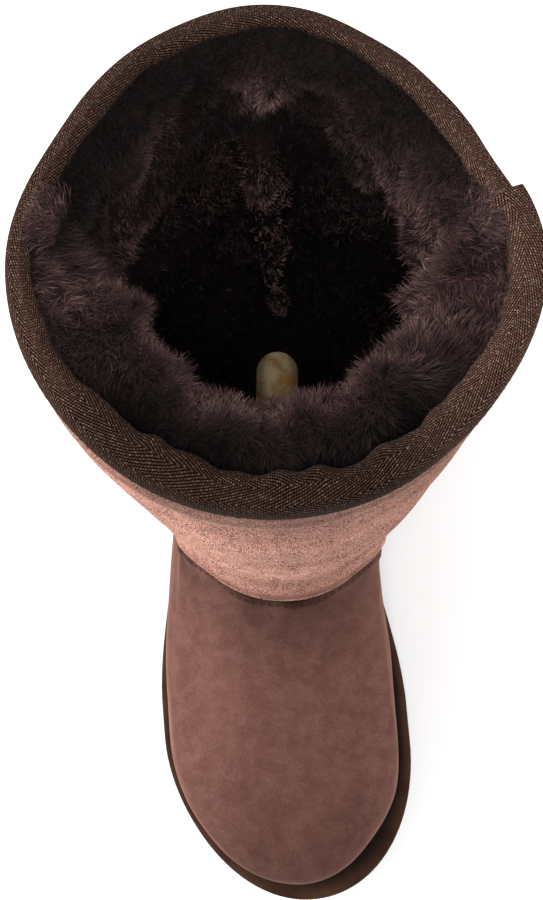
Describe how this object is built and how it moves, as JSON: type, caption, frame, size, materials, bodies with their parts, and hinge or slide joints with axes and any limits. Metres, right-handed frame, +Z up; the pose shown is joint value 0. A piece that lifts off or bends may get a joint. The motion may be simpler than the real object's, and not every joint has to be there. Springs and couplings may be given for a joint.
{
  "type": "sheepskin boot",
  "caption": "Tall pull-on right boot in fleece-lined suede, with a taped round collar, heel counter, back stay, loose insole and a moulded outsole.",
  "frame": {"origin": "on the ground under the middle of the boot", "axes": "+Z up, -Y towards the toe, +X towards the big-toe side"},
  "size_m": [0.1386, 0.2698, 0.3218],
  "materials": {
    "suede": "brushed suede, dusty brown",
    "counter_suede": "brushed suede, brown",
    "tape": "herringbone woven tape, dark brown",
    "insole_fleece": "shorn fleece, cream",
    "outsole": "matt moulded foam rubber, dark brown",
    "lining_fleece": "deep dyed fleece, very dark brown",
    "thread": "waxed sewing thread, dark brown"
  },
  "bodies": {
    "root": {"outsole": "outsole", "insole": "insole_fleece", "upper": "suede", "heel_counter": "counter_suede", "back_stay": "counter_suede", "collar_tape": "tape"}
  },
  "joints": []
}
